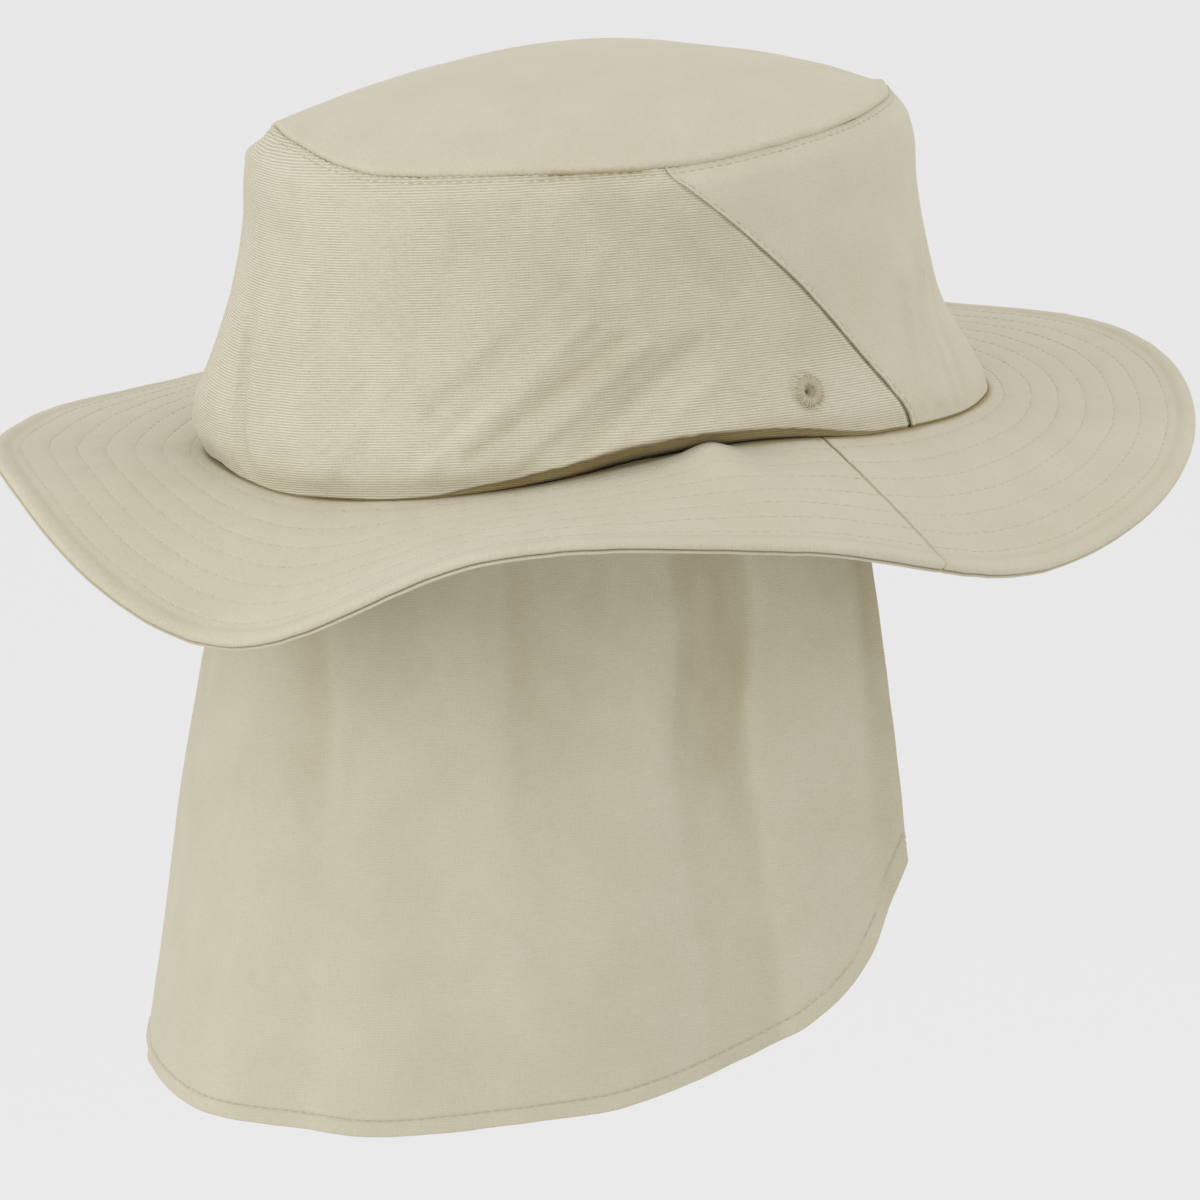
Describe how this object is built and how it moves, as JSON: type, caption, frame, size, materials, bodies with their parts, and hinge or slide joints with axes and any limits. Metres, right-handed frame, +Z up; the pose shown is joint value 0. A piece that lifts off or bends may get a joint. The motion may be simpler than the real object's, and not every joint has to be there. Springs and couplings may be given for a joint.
{
  "type": "surf hat",
  "caption": "Cloth sun hat with a domed crown, a wavy stitched brim all round and a hemmed neck flap that hangs round the back and sides.",
  "frame": {"origin": "middle of the oval head opening, level with the front of the seam between crown and brim, where the hat sits on a head", "axes": "+Z up through the crown, -Y towards the wearer's front, +X towards the wearer's left"},
  "size_m": [0.2832, 0.326, 0.2614],
  "materials": {
    "crown_tip": "light khaki woven cloth, matte",
    "crown_front_panel": "light khaki woven cloth, matte",
    "crown_rear_panel": "light khaki woven cloth with a fine level rib, matte",
    "brim_front": "light khaki woven cloth, two layers with rows of stitches",
    "brim_rear": "light khaki woven cloth, two layers with rows of stitches",
    "neck_flap": "light khaki woven cloth, one layer with a narrow hem",
    "eyelet_right": "close stitched thread",
    "eyelet_left": "close stitched thread"
  },
  "bodies": {
    "root": {"crown_tip": "crown_tip", "crown_front_panel": "crown_front_panel", "crown_rear_panel": "crown_rear_panel", "brim_front": "brim_front", "brim_rear": "brim_rear", "neck_flap": "neck_flap", "eyelet_right": "eyelet_right", "eyelet_left": "eyelet_left"}
  },
  "joints": []
}
